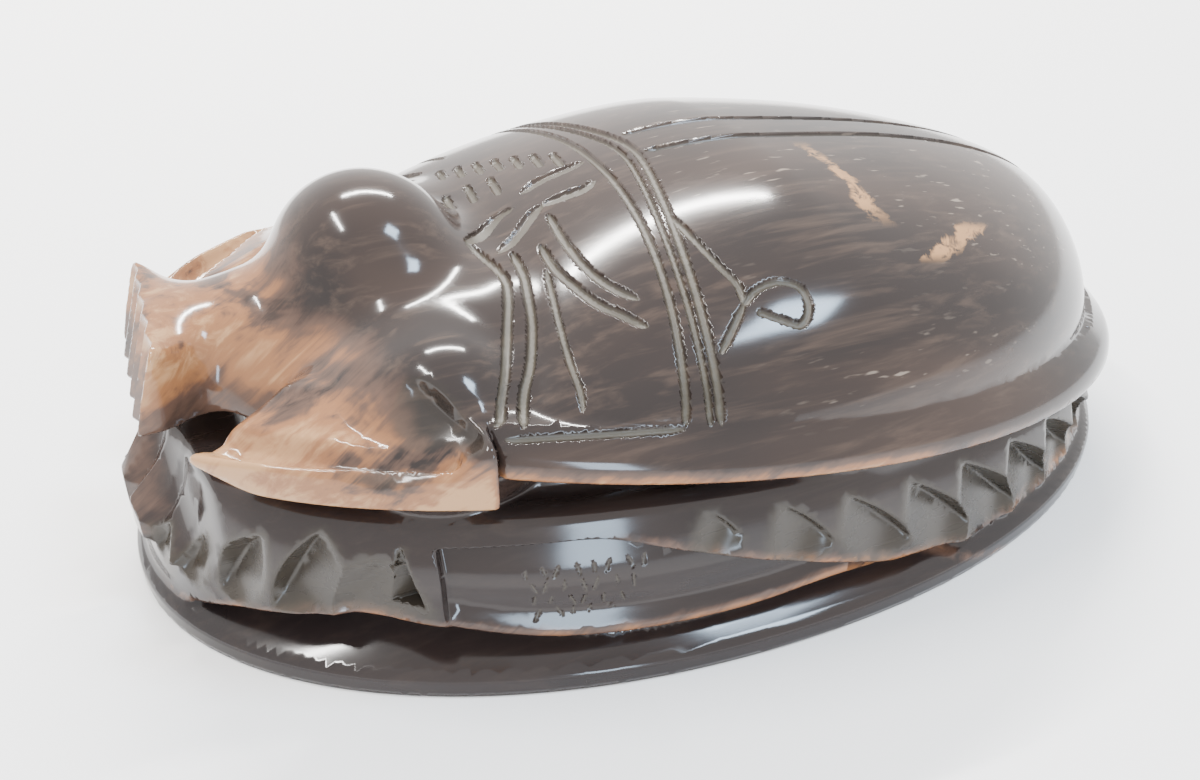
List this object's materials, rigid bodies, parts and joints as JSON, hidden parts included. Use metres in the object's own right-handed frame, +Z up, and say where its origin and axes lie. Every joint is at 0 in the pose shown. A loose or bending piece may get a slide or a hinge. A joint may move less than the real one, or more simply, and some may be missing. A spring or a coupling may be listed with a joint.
{
  "type": "scarab figure",
  "caption": "Scarab amulet carved from one piece of dark horn: a beetle with engraved wing cases on a tier of folded legs and an oval stepped plinth.",
  "frame": {"origin": "centre of the flat underside", "axes": "+Z up, -Y towards the beetle's head, +Y towards its tail, +X the flank that the picture shows"},
  "size_m": [0.0638, 0.1, 0.033],
  "materials": {
    "carved_scarab": "dark horn polished to a high gloss, amber where it is thin"
  },
  "bodies": {
    "root": {"carved_scarab": "carved_scarab"}
  },
  "joints": []
}
